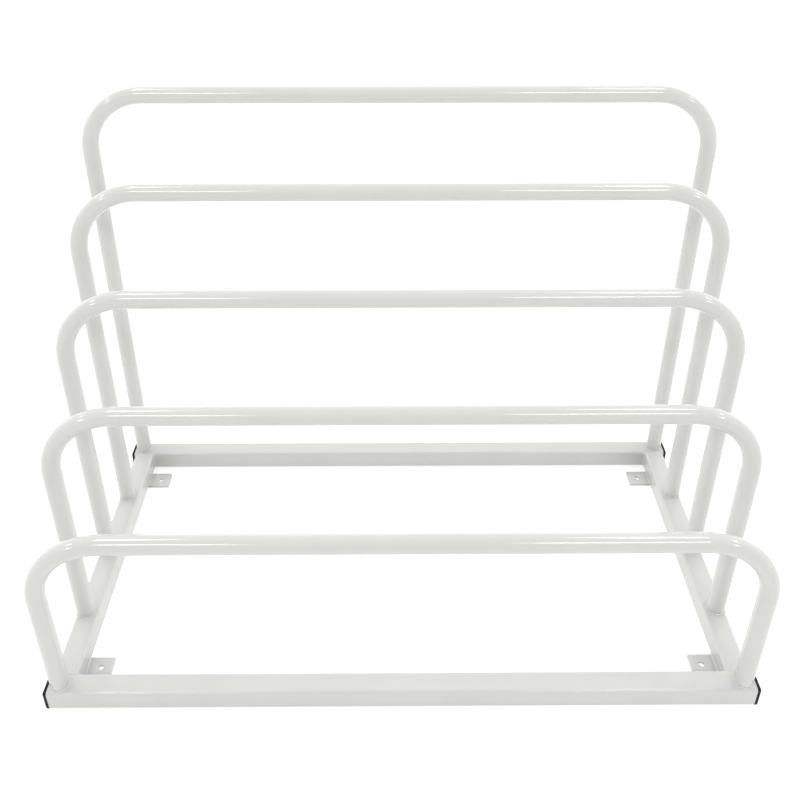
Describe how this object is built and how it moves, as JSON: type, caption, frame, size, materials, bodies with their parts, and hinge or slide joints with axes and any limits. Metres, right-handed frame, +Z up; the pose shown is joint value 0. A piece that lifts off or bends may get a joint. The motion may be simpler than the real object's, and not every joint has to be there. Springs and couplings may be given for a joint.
{
  "type": "tyre storage rack",
  "caption": "Free-standing stepped storage rack of welded steel tube: round-tube hoops rise in steps on a square-tube ground frame with floor lugs.",
  "frame": {"origin": "on the floor, under the middle of the rack's overall box", "axes": "+X to the right along the hoops, +Y from the low front hoop to the high rear hoop, +Z up"},
  "size_m": [1.22, 0.64, 0.897],
  "materials": {
    "powder_coat": "gloss powder coat, very light grey",
    "cap_plastic": "moulded polyethylene, satin black"
  },
  "bodies": {
    "root": {"front_crossbar": "powder_coat", "rear_crossbar": "powder_coat", "left_side_rail": "powder_coat", "right_side_rail": "powder_coat", "hoop_1_front": "powder_coat", "hoop_2": "powder_coat", "hoop_3_middle": "powder_coat", "hoop_4": "powder_coat", "hoop_5_rear": "powder_coat", "floor_lug_front_left": "powder_coat", "floor_lug_front_right": "powder_coat", "floor_lug_rear_left": "powder_coat", "floor_lug_rear_right": "powder_coat", "hoop_1_front_weld_left": "powder_coat", "hoop_1_front_weld_right": "powder_coat", "hoop_2_weld_left": "powder_coat", "hoop_2_weld_right": "powder_coat", "hoop_3_middle_weld_left": "powder_coat", "hoop_3_middle_weld_right": "powder_coat", "hoop_4_weld_left": "powder_coat", "hoop_4_weld_right": "powder_coat", "hoop_5_rear_weld_left": "powder_coat", "hoop_5_rear_weld_right": "powder_coat", "corner_weld_front_left": "powder_coat", "corner_weld_front_right": "powder_coat", "corner_weld_rear_left": "powder_coat", "corner_weld_rear_right": "powder_coat", "lug_weld_front_left": "powder_coat", "lug_weld_front_right": "powder_coat", "lug_weld_rear_left": "powder_coat", "lug_weld_rear_right": "powder_coat", "end_cap_front_left": "cap_plastic", "end_cap_front_right": "cap_plastic", "end_cap_rear_left": "cap_plastic", "end_cap_rear_right": "cap_plastic"}
  },
  "joints": []
}
